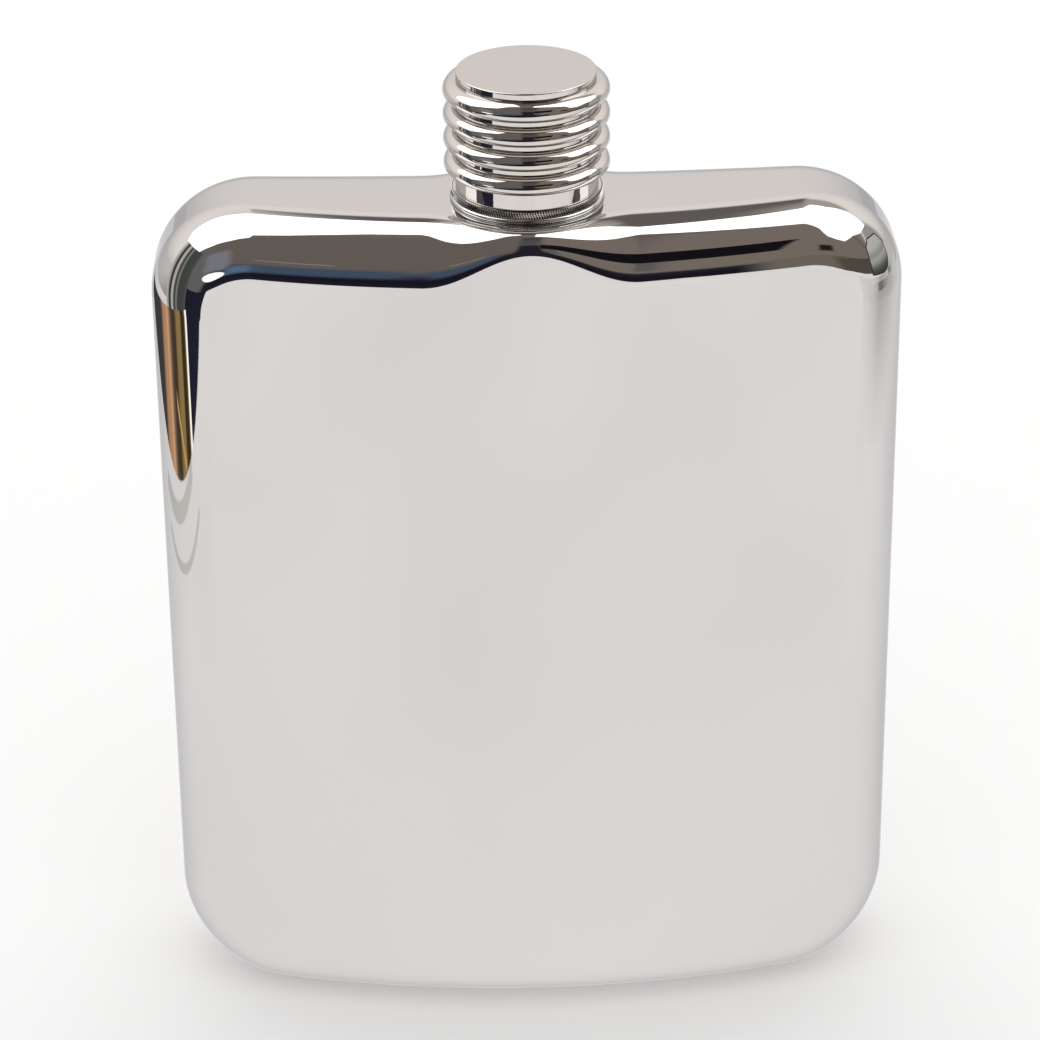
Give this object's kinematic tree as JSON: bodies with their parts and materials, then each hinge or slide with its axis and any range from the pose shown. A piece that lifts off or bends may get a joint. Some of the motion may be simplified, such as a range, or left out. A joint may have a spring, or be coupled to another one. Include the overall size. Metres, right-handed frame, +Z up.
{
  "type": "hip flask",
  "caption": "Polished metal hip flask, curved in plan with rounded rims, a short threaded neck with a reeded collar, and a ribbed screw cap that unscrews and lifts.",
  "frame": {"origin": "under the neck axis, on the plane that the flask stands on", "axes": "+Z up along the neck, +X to the right seen from the front, front (convex) face towards -Y"},
  "size_m": [0.092, 0.0267, 0.1249],
  "materials": {
    "body_metal": "mirror polished stainless steel",
    "neck_metal": "polished, turned",
    "cap_metal": "polished nickel, slightly warm",
    "insert_brass": "as turned",
    "seal_rubber": "matte food-grade silicone",
    "backing_steel": "plain stamped disc"
  },
  "bodies": {
    "flask": {"front_shell": "body_metal", "back_shell": "body_metal", "neck": "neck_metal", "collar_ring": "cap_metal"},
    "cap_liner": {"cap_seal": "seal_rubber", "seal_backing_disc": "backing_steel"},
    "cap": {"cap_shell": "cap_metal", "cap_top_disc": "cap_metal", "cap_thread_insert": "insert_brass"}
  },
  "joints": [
    {"name": "cap_rise", "type": "slide", "parent": "flask", "child": "cap_liner", "axis": [0, 0, 1], "range_m": [0, 0.009]},
    {"name": "cap_turn", "type": "hinge", "parent": "cap_liner", "child": "cap", "pos_m": [0, 0, 0.1188], "axis": [0, 0, 1], "range_deg": [0, 1620]}
  ],
  "couplings": [
    {"joint": "cap_rise", "follows": "cap_turn", "m_per_rad": 0.00031831}
  ]
}
